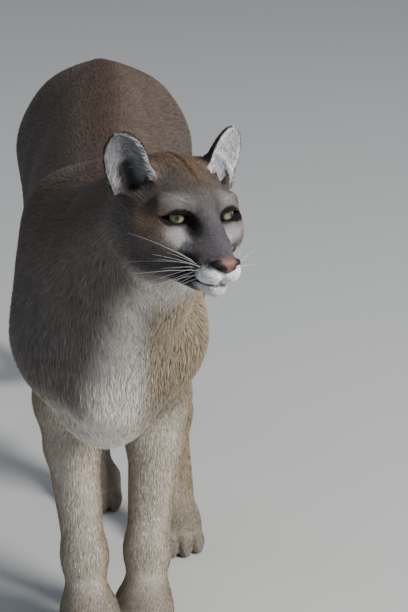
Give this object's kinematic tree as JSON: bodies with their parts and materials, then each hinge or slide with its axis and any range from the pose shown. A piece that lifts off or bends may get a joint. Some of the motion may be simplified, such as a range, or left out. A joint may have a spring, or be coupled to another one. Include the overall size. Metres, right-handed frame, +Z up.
{
  "type": "cougar",
  "caption": "Life-size still model of a cougar standing in a slow walk, with its head turned to its left and its tail hanging.",
  "frame": {"origin": "middle of the model on the floor, under the loins", "axes": "+Z up; +Y along the body towards the tail, so the animal faces -Y; +X to its left"},
  "size_m": [0.2898, 1.4316, 0.7961],
  "materials": {
    "tawny_coat": "short matt fur",
    "pale_leg_coat": "short matt fur",
    "dark_tail_coat": "short matt fur",
    "ear_coat": "thin pale fur",
    "eye": "wet and glossy",
    "nose_leather": "damp bare skin"
  },
  "bodies": {
    "root": {"torso_front": "tawny_coat", "torso_rear": "tawny_coat", "neck": "tawny_coat", "head": "tawny_coat", "upper_arm_left": "tawny_coat", "upper_arm_right": "tawny_coat", "thigh_left": "tawny_coat", "thigh_right": "tawny_coat", "tail_root": "tawny_coat", "tail_middle": "tawny_coat", "forearm_left": "pale_leg_coat", "forearm_right": "pale_leg_coat", "forepaw_left": "pale_leg_coat", "forepaw_right": "pale_leg_coat", "shank_left": "pale_leg_coat", "shank_right": "pale_leg_coat", "hindpaw_left": "pale_leg_coat", "hindpaw_right": "pale_leg_coat", "tail_tip": "dark_tail_coat", "ear_left": "ear_coat", "ear_right": "ear_coat", "eye_left": "eye", "eye_right": "eye", "nose": "nose_leather"}
  },
  "joints": []
}
